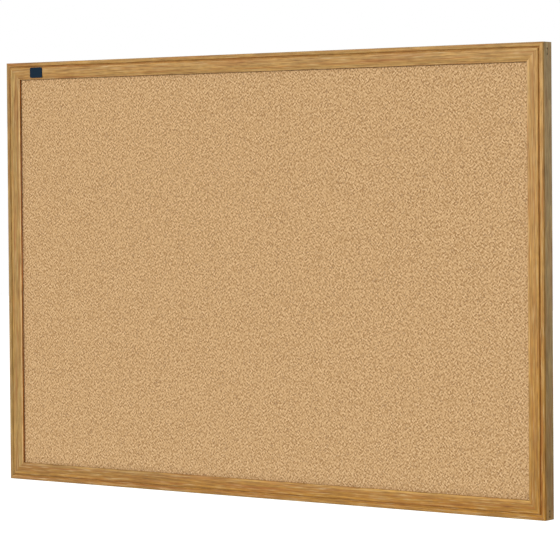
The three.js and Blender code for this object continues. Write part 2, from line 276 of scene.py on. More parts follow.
# Oak moulding: planed, golden oil stain under a thin satin lacquer that leaves the open pores showing.
# The backs were never finished, so they stay pale and show the marks of the saw.
oak = {
    "sectionWidth": 24.7 * mm,
    "layers": {              # noises drawn out along the grain: length and width in mm, detail, roughness
        "mottle": (90, 18, 2, 0.5),
        "cloud": (13, 5, 3, 0.6),
        "streaks": (110, 3.2, 3, 0.6),
        "pores": (26, 1.1, 2, 0.5),   # real pores are 0.3 mm wide and fibres finer, drawn wider to show
        "fibres": (14, 0.4, 2, 0.6),
    },
    "swings": {"mottle": 0.1, "cloud": 0.14, "fibres": 0.09},   # how far a layer moves the tone
    "marks": {               # the layer that places a mark, its colour, and its share by the layer's level
        "heartwood": ("streaks", "#9a5a1c", [(0.46, 0.0), (0.72, 0.75)]),
        "pore": ("pores", "#6b421a", [(0.53, 0.0), (0.74, 0.7)]),
        "fleck": ("pores", "#cdae78", [(0.26, 0.55), (0.44, 0.0)]),   # medullary rays cut lengthwise
    },
    "ringSpacing": 5 * mm,
    "ringWander": 6 * mm,
    "ringRipple": {"Distortion": 0.8, "Detail": 2, "Detail Scale": 0.1, "Detail Roughness": 0.6},
    "ringStart": 0.1,        # share of a growth ring that is over before its tone starts to fall
    "ringLight": 1.06,
    "ringDark": 0.83,        # tone left in the dense half of the ring
    "raw": "#bfa377",
    "rawFrom": 0.5,          # how squarely a face looks backwards where the raw wood starts,
    "rawFull": 0.8,          # and where it is all raw
    "sideDepth": 1.2 * mm,   # what lies this near the outer edge belongs to the side face
    "sideFrom": 2.9 * mm,    # behind the side quirk the side face takes its own paler, greyer tone, which paints its cool shade and reflection
    "sideFade": 1.2 * mm,
    "filletCrest": 22.8 * mm,
    "filletFade": 1.8 * mm,
    "lipFrom": 24.5 * mm,
    "lipShare": 0.8,         # what is left of the fillet's painted highlight on the lip
    "hole": "#33271a",       # painted shade round the open ends of the staples' slots, where shade falls inside them
    "holeShadeShare": 0.9,
    "holeRadius": 1.4 * mm,
    "holeFade": 0.5 * mm,
    "holeInset": 0.8 * mm,   # from the end of the staple's crown
    "roughness": 0.55,       # where the lacquer is full
    "poreRoughness": 0.72,
    "rawRoughness": 0.25,    # added on the back
    "gloss": {"IOR": 1.46, "Specular IOR Level": 0.4},
    "bump": {"Strength": 0.35, "Distance": 0.12 * mm, "invert": True},   # inverted: pores are hollows
    "sawPitch": 2.4 * mm,
    "sawRipple": {"Distortion": 1.5, "Detail": 1},
    "sawShare": 0.5,         # depth of the saw's ribs and of the fibres, against the pores' depth
    "fibreShare": 0.25,
    "mitreGap": 0.3 * mm,    # square across the joint, as the solids keep it
    "glueLine": 0.03 * mm,
    "mitreReach": 0.05 * mm,
    "plain": 0.6,            # the level in an across list that leaves the tone as it is
    # front, side and fillet give the tone from one end of the member to the other. across gives what the
    # front's tone is multiplied by, in mm in from the outer edge: stain together with painted shade in the
    # quirk, painted light and shade on the lip's wall, painted highlights on the lit shoulders beside the
    # quirk, a painted pale, greyish reflection on the outer arris, and painted shade where the top rail
    # turns down to its fillet.
    "members": {
        "top_rail": {
            "shift": (0.3, 0.031, 0.06),
            "tilt": 1.4,
            "front": [(0.0, "#b18542"), (1.0, "#b78d4d")],
            "side": [(0.0, "#b9a071"), (1.0, "#b9a071")],
            "fillet": [(0.0, "#a87f42"), (1.0, "#b88f50")],
            "across": [
                (0, "#c5cad5"), (1.2, "#c5cad5"), (2.4, 0.6), (4.6, 0.6), (5.3, "#afa285"),
                (6.1, "#afa285"), (7.0, 0.6), (8.4, 0.66), (10.5, 0.6), (21.3, 0.58), (22.0, 0.51),
                (22.8, 0.6), (24.5, 0.6), (24.7, "#8e6b21")],
        },
        "bottom_rail": {
            "shift": (1.7, 0.052, 0.66),
            "tilt": -2.2,
            "front": [(0.0, "#9b6f2a"), (1.0, "#a87522")],
            "side": [(0.0, "#a78447"), (1.0, "#a78447")],
            "fillet": [(0.0, "#a67d3e"), (1.0, "#d2a24f")],
            "across": [
                (0, "#bfc6ce"), (1.2, "#bfc6ce"), (2.6, 0.6), (4.4, 0.66), (5.5, 0.75), (6.6, 0.62),
                (7.3, "#b9b2ad"), (7.9, "#b9b2ad"), (8.6, 0.62), (10.2, 0.70), (13, 0.6), (24.5, 0.6),
                (24.7, "#bfb7a5")],
        },
        "left_stile": {
            "shift": (3.1, 0.044, 0.50),
            "tilt": -1.0,
            "front": [(0.0, "#a48041"), (1.0, "#a48041")],
            "side": [(0.0, "#a78447"), (1.0, "#b9a071")],
            "fillet": [(0.0, "#d0a668"), (1.0, "#d0a668")],
            "across": [
                (0, "#c7cbd9"), (3.0, "#c9ccd8"), (4.4, 0.63), (5.4, 0.6), (6.2, 0.72), (7.3, 0.98),
                (9.2, 0.66), (11, 0.6), (24.5, 0.64), (24.7, "#c0924a")],
        },
        "right_stile": {
            "shift": (4.66, 0.040, -0.40),
            "tilt": 1.6,
            "front": [(0.0, "#a1711f"), (1.0, "#bd9354")],
            "side": [(0.15, "#a78447"), (0.45, "#bb9d66"), (1.0, "#b9a071")],
            "fillet": [(0.0, "#aa7d31"), (1.0, "#cca26a")],
            "across": [
                (0, 0.75), (1.6, 0.62), (5.9, 0.6), (6.5, "#a38b57"), (7.2, "#a38b57"), (7.8, 0.66),
                (8.6, 0.8), (10.4, 0.6), (24.5, 0.6), (24.7, "#8e6b21")],
        },
    },
}


def lieOf(member):
    # the axes along and across a member, and whether its outer edge is on the board's high side
    alongAxis, acrossAxis = (0, 2) if member.endswith("rail") else (2, 0)
    return alongAxis, acrossAxis, member in ("top_rail", "right_stile")


def slotEnds(member, outerEdge, inset):
    # the open ends of the slots that hold the staples in a stile's side face
    ends = []
    for name in nodesNamed("corner_staple"):
        if member.startswith(name.split("_")[-1]):
            low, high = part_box(name)
            for height in (low[2] + inset, high[2] - inset):
                ends.append((outerEdge, (low[1] + high[1]) / 2, height))
    return ends


def oakMaterial(look, member, settings):
    material, tree = newMaterial("lacquered oak " + member.replace("_", " "))
    low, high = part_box(member)
    alongAxis, acrossAxis, isHighSide = lieOf(member)
    outerEdge = (high if isHighSide else low)[acrossAxis]
    width = look["sectionWidth"]
    place = addNode(tree, "ShaderNodeTexCoord")
    # the grain lies along X from here on, and the shift makes the four members different pieces of wood
    turn = (0, math.radians(90) if alongAxis == 2 else 0, 0)
    along = addNode(tree, "ShaderNodeMapping", {"Rotation": turn, "Location": settings["shift"]},
                    {"Vector": place.outputs["Object"]})
    grain = {}
    for layer, (length, thickness, detail, roughness) in look["layers"].items():
        stretched = addNode(tree, "ShaderNodeMapping", {
            "Scale": (1 / (length * mm), 1 / (thickness * mm), 1 / (thickness * mm))},
            {"Vector": along.outputs[0]})
        grain[layer] = addNode(tree, "ShaderNodeTexNoise", {
            "Scale": 1, "Detail": detail, "Roughness": roughness}, {"Vector": stretched.outputs[0]})
    drift = addNode(tree, "ShaderNodeVectorMath", {
        "operation": "MULTIPLY_ADD", 1: [look["ringWander"]] * 3},
        {0: grain["mottle"].outputs["Color"], 2: along.outputs[0]})
    lean = addNode(tree, "ShaderNodeMapping", {"Rotation": (0, math.radians(settings["tilt"]), 0)},
                   {"Vector": drift.outputs[0]})
    rings = addNode(tree, "ShaderNodeTexWave", {
        "wave_type": "BANDS", "bands_direction": "Z", "wave_profile": "SAW",
        "Scale": bandScale(look["ringSpacing"]), **look["ringRipple"]}, {"Vector": lean.outputs[0]})

    # where a point lies: along the member, in from its outer edge, and back from its front
    axes = addNode(tree, "ShaderNodeSeparateXYZ", links={0: place.outputs["Object"]})
    endShare = addNode(tree, "ShaderNodeMapRange", {
        "From Min": low[alongAxis], "From Max": high[alongAxis]}, {"Value": axes.outputs[alongAxis]})
    inward = (-1 if isHighSide else 1) / width
    acrossShare = addNode(tree, "ShaderNodeMath", {
        "operation": "MULTIPLY_ADD", 1: inward, 2: -inward * outerEdge}, {0: axes.outputs[acrossAxis]})
    atEdge = addNode(tree, "ShaderNodeMath", {"operation": "LESS_THAN", 1: look["sideDepth"] / width},
                     {0: acrossShare.outputs[0]})
    sideStart = low[1] + look["sideFrom"]
    behindQuirk = addNode(tree, "ShaderNodeMapRange", {
        "From Min": sideStart, "From Max": sideStart + look["sideFade"]}, {"Value": axes.outputs["Y"]})
    sideShare = addNode(tree, "ShaderNodeMath", {"operation": "MULTIPLY"},
                        {0: atEdge.outputs[0], 1: behindQuirk.outputs[0]})
    facing = addNode(tree, "ShaderNodeSeparateXYZ", links={0: place.outputs["Normal"]})
    rawShare = addNode(tree, "ShaderNodeMapRange", {
        "From Min": look["rawFrom"], "From Max": look["rawFull"]}, {"Value": facing.outputs["Y"]})

    # colour: tones that change from end to end, stain with painted light and shade across the section, the
    # fillet's painted highlight, the side's painted shade and reflection, raw back, rings and noises,
    # marks, painted shade at the slot ends
    tones = {}
    for part in ("front", "side", "fillet"):
        tones[part] = addNode(tree, "ShaderNodeValToRGB", links={"Fac": endShare.outputs[0]},
                              stops=settings[part])
    # stain with painted shade and painted highlights across the section, which multiply the front's tone
    stainAndPaintedLight = addNode(tree, "ShaderNodeValToRGB", links={"Fac": acrossShare.outputs[0]},
                      stops=[(at * mm / width, level) for at, level in settings["across"]])
    levelled = addNode(tree, "ShaderNodeVectorMath", {"operation": "SCALE", "Scale": 1 / look["plain"]},
                       {0: stainAndPaintedLight.outputs[0]})
    # painted highlight on the fillet: the fillet's tone takes over from the front's, strongest at its crest
    filletShare = addNode(tree, "ShaderNodeValToRGB", links={"Fac": acrossShare.outputs[0]}, stops=[
        ((look["filletCrest"] - look["filletFade"]) / width, 0.0),
        (look["filletCrest"] / width, 1.0),
        (look["lipFrom"] / width, look["lipShare"])])
    filletHighlighted = addNode(tree, "ShaderNodeMix", {"data_type": "RGBA"}, {
        0: filletShare.outputs[0], 6: tones["front"].outputs[0], 7: tones["fillet"].outputs[0]})
    fronted = addNode(tree, "ShaderNodeVectorMath", {"operation": "MULTIPLY"},
                      {0: filletHighlighted.outputs[2], 1: levelled.outputs[0]})
    # painted cool shade and reflection on the side face, from the side's tone
    sided = addNode(tree, "ShaderNodeMix", {"data_type": "RGBA"},
                    {0: sideShare.outputs[0], 6: fronted.outputs[0], 7: tones["side"].outputs[0]})
    backed = addNode(tree, "ShaderNodeMix", {"data_type": "RGBA", 7: linear(look["raw"])},
                     {0: rawShare.outputs[0], 6: sided.outputs[2]})
    figure = addNode(tree, "ShaderNodeMapRange", {
        "From Min": look["ringStart"], "To Min": look["ringLight"], "To Max": look["ringDark"]},
        {"Value": rings.outputs["Fac"]})
    for layer, swing in look["swings"].items():
        swung = addNode(tree, "ShaderNodeMapRange", {
            **noiseLevels, "To Min": 1 - swing, "To Max": 1 + swing},
            {"Value": grain[layer].outputs["Fac"]})
        figure = addNode(tree, "ShaderNodeMath", {"operation": "MULTIPLY"},
                         {0: figure.outputs[0], 1: swung.outputs[0]})
    figured = addNode(tree, "ShaderNodeVectorMath", {"operation": "SCALE"},
                      {0: backed.outputs[2], "Scale": figure.outputs[0]})
    coloured = figured.outputs[0]
    markShares = {}
    for mark, (layer, tone, stops) in look["marks"].items():
        markShares[mark] = addNode(tree, "ShaderNodeValToRGB", links={"Fac": grain[layer].outputs["Fac"]},
                                   stops=stops)
        marked = addNode(tree, "ShaderNodeMix", {"data_type": "RGBA", 7: linear(tone)},
                         {0: markShares[mark].outputs[0], 6: coloured})
        coloured = marked.outputs[2]
    # painted shade round the open ends of the staples' slots
    for hole in slotEnds(member, outerEdge, look["holeInset"]):
        away = addNode(tree, "ShaderNodeVectorMath", {"operation": "DISTANCE", 1: hole},
                       {0: place.outputs["Object"]})
        holeShadeShare = addNode(tree, "ShaderNodeMapRange", {
            "From Min": look["holeRadius"], "From Max": look["holeRadius"] - look["holeFade"],
            "To Max": look["holeShadeShare"]}, {"Value": away.outputs["Value"]})
        holeShaded = addNode(tree, "ShaderNodeMix", {"data_type": "RGBA", 7: linear(look["hole"])},
                           {0: holeShadeShare.outputs[0], 6: coloured})
        coloured = holeShaded.outputs[2]

    # surface: lacquer thins over the pores, and the raw back is duller and ribbed by the saw
    sheen = addNode(tree, "ShaderNodeMapRange", {
        **noiseLevels, "To Min": look["roughness"], "To Max": look["poreRoughness"]},
        {"Value": grain["pores"].outputs["Fac"]})
    dulled = addNode(tree, "ShaderNodeMath", {"operation": "MULTIPLY_ADD", 1: look["rawRoughness"]},
                     {0: rawShare.outputs[0], 2: sheen.outputs[0]})
    saw = addNode(tree, "ShaderNodeTexWave", {
        "wave_type": "BANDS", "bands_direction": "X", "wave_profile": "SIN",
        "Scale": bandScale(look["sawPitch"]), **look["sawRipple"]}, {"Vector": along.outputs[0]})
    sawn = addNode(tree, "ShaderNodeMath", {"operation": "MULTIPLY"},
                   {0: saw.outputs["Fac"], 1: rawShare.outputs[0]})
    ribbed = addNode(tree, "ShaderNodeMath", {"operation": "MULTIPLY_ADD", 1: look["sawShare"]},
                     {0: sawn.outputs[0], 2: markShares["pore"].outputs[0]})
    depth = addNode(tree, "ShaderNodeMath", {"operation": "MULTIPLY_ADD", 1: look["fibreShare"]},
                    {0: grain["fibres"].outputs["Fac"], 2: ribbed.outputs[0]})
    relief = addNode(tree, "ShaderNodeBump", look["bump"], {"Height": depth.outputs[0]})
    shader = addNode(tree, "ShaderNodeBsdfPrincipled", look["gloss"], {
        "Base Color": coloured, "Roughness": dulled.outputs[0], "Normal": relief.outputs[0]})
    finishMaterial(tree, shader)
    return material


def closeMitres(look, piece, member):
    # the solids leave a gap in each mitre that would read as an open joint, so both ends of the
    # member are drawn out along it until only a glue line shows
    solidGap = look["mitreGap"] * math.sqrt(2) / 2
    alongAxis, acrossAxis, isHighSide = lieOf(member)
    outerEdge = cadBox[1 if isHighSide else 0][acrossAxis]
    shape = bmesh.new()
    shape.from_mesh(piece.data)
    for end in (0, 1):
        limit = cadBox[end][alongAxis]
        onMitre = [v for v in shape.verts
                   if abs(abs(limit - v.co[alongAxis]) - abs(outerEdge - v.co[acrossAxis]) - solidGap)
                   < look["mitreReach"]]
        shift = Vector((0, 0, 0))
        shift[alongAxis] = (solidGap - look["glueLine"]) * (1 if end else -1)
        bmesh.ops.translate(shape, verts=onMitre, vec=shift)
    shape.to_mesh(piece.data)
    shape.free()


for member, memberSettings in oak["members"].items():
    closeMitres(oak, refinedCopy(member, oakMaterial(oak, member, memberSettings)), member)
print("oak moulding dressed")

# Filler over the middle of each staple's crown: wood putty, wiped in and shrunk a little below the side
# face. It leaves both ends of the slot open, so they show, with the painted shade round them on the oak, as
# two dark dots joined by a fine line.
filler = {
    "tones": [(0.3, "#76633f"), (0.6, "#a5946c")],   # dirt and putty, by the grit's level
    "length": 4.6 * mm,
    "width": 1.4 * mm,
    "sunk": 0.25 * mm,
    "clearance": 0.05 * mm,
    "rounding": 0.2 * mm,
    "grit": 0.5 * mm,        # putty's own is finer, drawn coarse so that it shows
    "bump": {"Strength": 0.5, "Distance": 0.1 * mm},
    "gloss": {"Roughness": 0.85, "IOR": 1.45, "Specular IOR Level": 0.25},
}


def fillerMaterial(look):
    material, tree = newMaterial("wood putty")
    place = addNode(tree, "ShaderNodeTexCoord")
    grit = addNode(tree, "ShaderNodeTexNoise", {"Scale": 1 / look["grit"], "Detail": 3, "Roughness": 0.6},
                   {"Vector": place.outputs["Object"]})
    tone = addNode(tree, "ShaderNodeValToRGB", links={"Fac": grit.outputs["Fac"]}, stops=look["tones"])
    relief = addNode(tree, "ShaderNodeBump", look["bump"], {"Height": grit.outputs["Fac"]})
    shader = addNode(tree, "ShaderNodeBsdfPrincipled", look["gloss"],
                     {"Base Color": tone.outputs[0], "Normal": relief.outputs[0]})
    finishMaterial(tree, shader)
    return material


def fillSlot(stapleName, look, putty):
    low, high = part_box(stapleName)
    hand = 1 if stapleName.endswith("right") else -1
    outer = cadBox[1][0] - look["sunk"]
    inner = (high[0] if hand > 0 else -low[0]) + look["clearance"]
    middle = Vector((hand * (outer + inner) / 2, (low[1] + high[1]) / 2, (low[2] + high[2]) / 2))
    shape = bmesh.new()
    bmesh.ops.create_cube(shape, size=1)
    bmesh.ops.scale(shape, verts=shape.verts, vec=(outer - inner, look["width"], look["length"]))
    bmesh.ops.bevel(shape, geom=shape.edges, offset=look["rounding"], affect="EDGES", segments=2,
                    profile=0.5, material=-1)
    bmesh.ops.translate(shape, verts=shape.verts, vec=middle)
    mesh = bpy.data.meshes.new("staple_filler")
    shape.to_mesh(mesh)
    shape.free()
    mesh.materials.append(putty)
    mesh.shade_smooth()
    piece = bpy.data.objects.new(stapleName.replace("corner_staple", "staple_filler"), mesh)
    bpy.context.scene.collection.objects.link(piece)
    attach(piece, bodyOf(stapleName))


woodPutty = fillerMaterial(filler)
for stapleName in nodesNamed("corner_staple"):
    fillSlot(stapleName, filler, woodPutty)
print("staple slots filled")

# Cork: ground bark pressed with binder and sanded, so flat granules of many tones, dry and matt. The
# granules are well mixed, so light and dark ones take turns and no clouds of one tone show.
cork = {
    "granule": 1.6 * mm,     # fine grades are 0.5 to 2 mm, drawn coarse because finer ones fade from afar
    "mixReach": 2.4 * mm,    # each granule is set off from what lies this far away on four sides
    "mixShare": 0.6,
    "ragged": 0.7 * mm,      # how far the torn edges of the granules wander
    "raggedPitch": 0.8 * mm,
    "tones": [(0.0, "#967046"), (0.14, "#a57f53"), (0.5, "#c49e6f"), (0.86, "#d5b082"), (1.0, "#e3c092")],
    "speck": 1.6 * mm,       # bits of dark outer bark
    "speckFrom": 0.96,       # only the cells that drew more than this are specks
    "speckFull": 0.975,
    "speckShare": 0.55,
    "bark": "#6a4321",
    "edgeShadeReach": 13 * mm,    # painted shade: the cork is a little darker beside the bottom rail and the left stile
    "edgeShadeShare": 0.08,
    "bump": {"Strength": 0.4, "Distance": 0.15 * mm},
    "gloss": {"Roughness": 0.9, "IOR": 1.4, "Specular IOR Level": 0.25},
}


def corkMaterial(look):
    material, tree = newMaterial("sanded agglomerated cork")
    place = addNode(tree, "ShaderNodeTexCoord")
    edges = addNode(tree, "ShaderNodeTexNoise", {"Scale": 1 / look["raggedPitch"], "Detail": 2},
                    {"Vector": place.outputs["Object"]})
    torn = addNode(tree, "ShaderNodeVectorMath", {"operation": "MULTIPLY_ADD", 1: [look["ragged"]] * 3},
                   {0: edges.outputs["Color"], 2: place.outputs["Object"]})
    reach = look["mixReach"]
    drawn = []
    for offset in ((0, 0, 0), (reach, 0, 0), (-reach, 0, 0), (0, 0, reach), (0, 0, -reach)):
        moved = addNode(tree, "ShaderNodeMapping", {"Location": offset}, {"Vector": torn.outputs[0]})
        granules = addNode(tree, "ShaderNodeTexVoronoi", {"Scale": 1 / look["granule"], "Randomness": 1},
                           {"Vector": moved.outputs[0]})
        drawn.append(addNode(tree, "ShaderNodeSeparateColor", links={"Color": granules.outputs["Color"]}))
    own, *around = drawn
    # the tone less its surroundings, brought back to a mean of a half
    setOff = addNode(tree, "ShaderNodeMath", {"operation": "ADD", 1: look["mixShare"] / 2},
                     {0: own.outputs[0]})
    for other in around:
        setOff = addNode(tree, "ShaderNodeMath", {
            "operation": "MULTIPLY_ADD", 1: -look["mixShare"] / len(around)},
            {0: other.outputs[0], 2: setOff.outputs[0]})
    body = addNode(tree, "ShaderNodeValToRGB", links={"Fac": setOff.outputs[0]}, stops=look["tones"])
    specks = addNode(tree, "ShaderNodeTexVoronoi", {"Scale": 1 / look["speck"], "Randomness": 1},
                     {"Vector": torn.outputs[0]})
    speckCell = addNode(tree, "ShaderNodeSeparateColor", links={"Color": specks.outputs["Color"]})
    speckShare = addNode(tree, "ShaderNodeMapRange", {
        "From Min": look["speckFrom"], "From Max": look["speckFull"], "To Max": look["speckShare"]},
        {"Value": speckCell.outputs[0]})
    specked = addNode(tree, "ShaderNodeMix", {"data_type": "RGBA", 7: linear(look["bark"])},
                      {0: speckShare.outputs[0], 6: body.outputs[0]})
    axes = addNode(tree, "ShaderNodeSeparateXYZ", links={0: place.outputs["Object"]})
    # painted shade on the cork beside the bottom rail and the left stile
    byStile, byRail = [
        addNode(tree, "ShaderNodeMapRange", {
            "interpolation_type": "SMOOTHERSTEP",
            "From Min": cadBox[0][axis] + oak["sectionWidth"] - look["edgeShadeReach"] / 2,
            "From Max": cadBox[0][axis] + oak["sectionWidth"] + look["edgeShadeReach"],
            "To Min": 1 - look["edgeShadeShare"]}, {"Value": axes.outputs[axis]})
        for axis in (0, 2)]
    unshadedShare = addNode(tree, "ShaderNodeMath", {"operation": "MULTIPLY"},
                        {0: byStile.outputs[0], 1: byRail.outputs[0]})
    edgeShaded = addNode(tree, "ShaderNodeVectorMath", {"operation": "SCALE"},
                     {0: specked.outputs[2], "Scale": unshadedShare.outputs[0]})
    relief = addNode(tree, "ShaderNodeBump", look["bump"], {"Height": own.outputs[1]})
    shader = addNode(tree, "ShaderNodeBsdfPrincipled", look["gloss"],
                     {"Base Color": edgeShaded.outputs[0], "Normal": relief.outputs[0]})
    finishMaterial(tree, shader)
    return material


dress("cork_sheet", corkMaterial(cork))
print("cork dressed")

# Softboard behind the cork: wet-felted wood fibre, so matt and brown, with short fibres at its cut edges
softboard = {
    "tones": [(0.35, "#6d5b40"), (0.55, "#9d8866"), (0.75, "#c0ad88")],   # by the felt's level
    "turns": (25, -40),      # degrees, so that two layers of fibres come from different parts of the noise
    "fibreLength": 3.5 * mm,
    "fibreWidth": 0.5 * mm,
    "bump": {"Strength": 0.7, "Distance": 0.3 * mm},
    "gloss": {"Roughness": 0.95, "IOR": 1.4, "Specular IOR Level": 0.2},
}


def softboardMaterial(look):
    material, tree = newMaterial("wood fibre softboard")
    place = addNode(tree, "ShaderNodeTexCoord")
    fibres = []
    for turn in look["turns"]:
        laid = addNode(tree, "ShaderNodeMapping", {
            "Rotation": (0, math.radians(turn), 0),
            "Scale": (1 / look["fibreLength"], 1 / look["fibreWidth"], 1 / look["fibreWidth"])},
            {"Vector": place.outputs["Object"]})
        fibres.append(addNode(tree, "ShaderNodeTexNoise", {"Scale": 1, "Detail": 3, "Roughness": 0.6},
                              {"Vector": laid.outputs[0]}))
    felt = addNode(tree, "ShaderNodeMath", {"operation": "MAXIMUM"},
                   {0: fibres[0].outputs["Fac"], 1: fibres[1].outputs["Fac"]})
    tone = addNode(tree, "ShaderNodeValToRGB", links={"Fac": felt.outputs[0]}, stops=look["tones"])
    relief = addNode(tree, "ShaderNodeBump", look["bump"], {"Height": felt.outputs[0]})
    shader = addNode(tree, "ShaderNodeBsdfPrincipled", look["gloss"],
                     {"Base Color": tone.outputs[0], "Normal": relief.outputs[0]})
    finishMaterial(tree, shader)
    return material


dress("fibreboard_core", softboardMaterial(softboard))

# Kraft paper over the back: unbleached, calendered on one side, so brown with fine fibres, a faint
# machine direction and shallow cockles where the glue has drawn it
kraft = {
    "tones": [(0.36, "#9a7a4f"), (0.56, "#ad8c60"), (0.76, "#b9996e")],   # by the fibres' level
    "fibreLength": 5 * mm,   # real fibres are shorter and far finer, drawn coarse so that they show
    "fibreWidth": 0.6 * mm,
    "shive": "#6f5434",      # bits of bark and uncooked wood, one to a cell and much smaller than it
    "shiveCell": 3.2 * mm,
    "shiveEdge": 0.10,
    "shiveCore": 0.06,
    "shiveShare": 0.6,
    "cockle": 70 * mm,
    "cockleShare": 0.12,     # how much of the cockles shows in the tone
    "cockleBump": {"Strength": 0.5, "Distance": 1.2 * mm},
    "bump": {"Strength": 0.3, "Distance": 0.05 * mm},
    "gloss": {"Roughness": 0.8, "IOR": 1.45, "Specular IOR Level": 0.4},
}


def kraftMaterial(look):
    material, tree = newMaterial("unbleached kraft paper")
    place = addNode(tree, "ShaderNodeTexCoord")
    # the fibres lie mostly along the sheet's machine direction, which is the board's length
    laid = addNode(tree, "ShaderNodeMapping", {
        "Scale": (1 / look["fibreLength"], 1 / look["fibreWidth"], 1 / look["fibreWidth"])},
        {"Vector": place.outputs["Object"]})
    fibres = addNode(tree, "ShaderNodeTexNoise", {"Scale": 1, "Detail": 4, "Roughness": 0.65},
                     {"Vector": laid.outputs[0]})
    clouds = addNode(tree, "ShaderNodeTexNoise", {
        "Scale": 1 / look["cockle"], "Detail": 2, "Roughness": 0.45}, {"Vector": place.outputs["Object"]})
    mixed = addNode(tree, "ShaderNodeMath", {"operation": "MULTIPLY_ADD", 1: look["cockleShare"]},
                    {0: clouds.outputs["Fac"], 2: fibres.outputs["Fac"]})
    tone = addNode(tree, "ShaderNodeValToRGB", links={"Fac": mixed.outputs[0]}, stops=look["tones"])
    shives = addNode(tree, "ShaderNodeTexVoronoi", {"Scale": 1 / look["shiveCell"], "Randomness": 1},
                     {"Vector": place.outputs["Object"]})
    shiveShare = addNode(tree, "ShaderNodeMapRange", {
        "From Min": look["shiveEdge"], "From Max": look["shiveCore"], "To Max": look["shiveShare"]},
        {"Value": shives.outputs["Distance"]})
    flecked = addNode(tree, "ShaderNodeMix", {"data_type": "RGBA", 7: linear(look["shive"])},
                      {0: shiveShare.outputs[0], 6: tone.outputs[0]})
    cockles = addNode(tree, "ShaderNodeBump", look["cockleBump"], {"Height": clouds.outputs["Fac"]})
    tooth = addNode(tree, "ShaderNodeBump", look["bump"],
                    {"Height": fibres.outputs["Fac"], "Normal": cockles.outputs[0]})
    shader = addNode(tree, "ShaderNodeBsdfPrincipled", look["gloss"],
                     {"Base Color": flecked.outputs[2], "Normal": tooth.outputs[0]})
    finishMaterial(tree, shader)
    return material


dress("backing_sheet", kraftMaterial(kraft))
print("panel dressed")

# Face plate: stove enamel on thin steel, so a deep even blue under a slight orange peel, left bare
plate = {
    "tone": "#051f30",
    "dust": "#1f3a4c",       # lodged in the scratches
    "peel": 1.6 * mm,
    "scratchLength": 9 * mm,
    "scratchWidth": 0.35 * mm,   # real ones are finer, drawn wider so that they show
    "scratchTurn": 18,       # degrees, which picks the part of the noise that the scratches come from
    "scratchFrom": 0.60,
    "scratchFull": 0.74,
    "scratchShare": 0.3,
    "bump": {"Strength": 0.25, "Distance": 0.03 * mm},
    "roughness": 0.42,
    "gloss": {"IOR": 1.5, "Specular IOR Level": 0.06},
    "smoothUpTo": 35,
    "easedEdge": 0.15 * mm,
}


def enamelMaterial(look):
    material, tree = newMaterial("stoved blue enamel")
    place = addNode(tree, "ShaderNodeTexCoord")
    peel = addNode(tree, "ShaderNodeTexNoise", {"Scale": 1 / look["peel"], "Detail": 1},
                   {"Vector": place.outputs["Object"]})
    drawn = addNode(tree, "ShaderNodeMapping", {
        "Rotation": (0, math.radians(look["scratchTurn"]), 0),
        "Scale": (1 / look["scratchLength"], 1 / look["scratchWidth"], 1 / look["scratchWidth"])},
        {"Vector": place.outputs["Object"]})
    scratches = addNode(tree, "ShaderNodeTexNoise", {"Scale": 1, "Detail": 2},
                        {"Vector": drawn.outputs[0]})
    scratchShare = addNode(tree, "ShaderNodeMapRange", {
        "From Min": look["scratchFrom"], "From Max": look["scratchFull"], "To Max": look["scratchShare"]},
        {"Value": scratches.outputs["Fac"]})
    tone = addNode(tree, "ShaderNodeMix", {
        "data_type": "RGBA", 6: linear(look["tone"]), 7: linear(look["dust"])},
        {0: scratchShare.outputs[0]})
    sheen = addNode(tree, "ShaderNodeMath", {"operation": "ADD", 1: look["roughness"]},
                    {0: scratchShare.outputs[0]})
    relief = addNode(tree, "ShaderNodeBump", look["bump"], {"Height": peel.outputs["Fac"]})
    shader = addNode(tree, "ShaderNodeBsdfPrincipled", look["gloss"], {
        "Base Color": tone.outputs[2], "Roughness": sheen.outputs[0], "Normal": relief.outputs[0]})
    finishMaterial(tree, shader)
    return material


refinedCopy("face_plate", enamelMaterial(plate), plate["smoothUpTo"], plate["easedEdge"])
print("plate dressed")

# Steel: the points are hot-dip galvanised, so grey with soft spangles, and the staples are drawn wire
# whose near-black brown tone paints the shade inside their slots. The hangers are nickel plated, bright
# with fine scratches.
steel = {
    "drawnOut": 0.06,        # a scratch's width against its length, both drawn coarse so that it shows
    "tarnishFade": 0.25,
    "tarnishShare": 0.8,
    "tarnishRoughness": 0.15,
    "spangleDark": 0.93,
    "spangleLight": 1.05,
    "scratchRoughness": 0.22,
    "bumpStrength": 0.3,
    "finishes": {
        "galvanised steel strip": {
            "starts": ("retaining",),
            "tone": "#a7aaab", "tarnish": "#7d8083", "tarnishFrom": 0.45,
            "spangle": 4 * mm, "scratch": 0.5 * mm, "roughness": 0.30, "scratchDepth": 0.02 * mm,
            "bevel": 0.12 * mm, "smoothUpTo": 25, "levels": 0,
        },
        "steel wire darkened for slot shade": {
            "starts": ("corner_staple",),
            # near-black tones that paint the shade inside the staples' slots
            "tone": "#2e261c", "tarnish": "#1f1810", "tarnishFrom": 0.40,
            "spangle": 1.2 * mm, "scratch": 0.5 * mm, "roughness": 0.47, "scratchDepth": 0.05 * mm,
            "bevel": 0.12 * mm, "smoothUpTo": 25, "levels": 0,
        },
        "nickel plate": {
            "starts": ("hanger_strap", "hanger_screw"),
            "tone": "#b2aea4", "tarnish": "#8f8878", "tarnishFrom": 0.55,
            "spangle": 7 * mm, "scratch": 0.4 * mm, "roughness": 0.20, "scratchDepth": 0.01 * mm,
            "bevel": 0.12 * mm, "smoothUpTo": 25, "levels": 0,
        },
        "nickel plated wire": {
            "starts": ("hanger_ring",),
            "tone": "#b2aea4", "tarnish": "#8f8878", "tarnishFrom": 0.55,
            "spangle": 5 * mm, "scratch": 0.4 * mm, "roughness": 0.17, "scratchDepth": 0.01 * mm,
            "bevel": 0, "smoothUpTo": 60, "levels": 2,
        },
    },
}


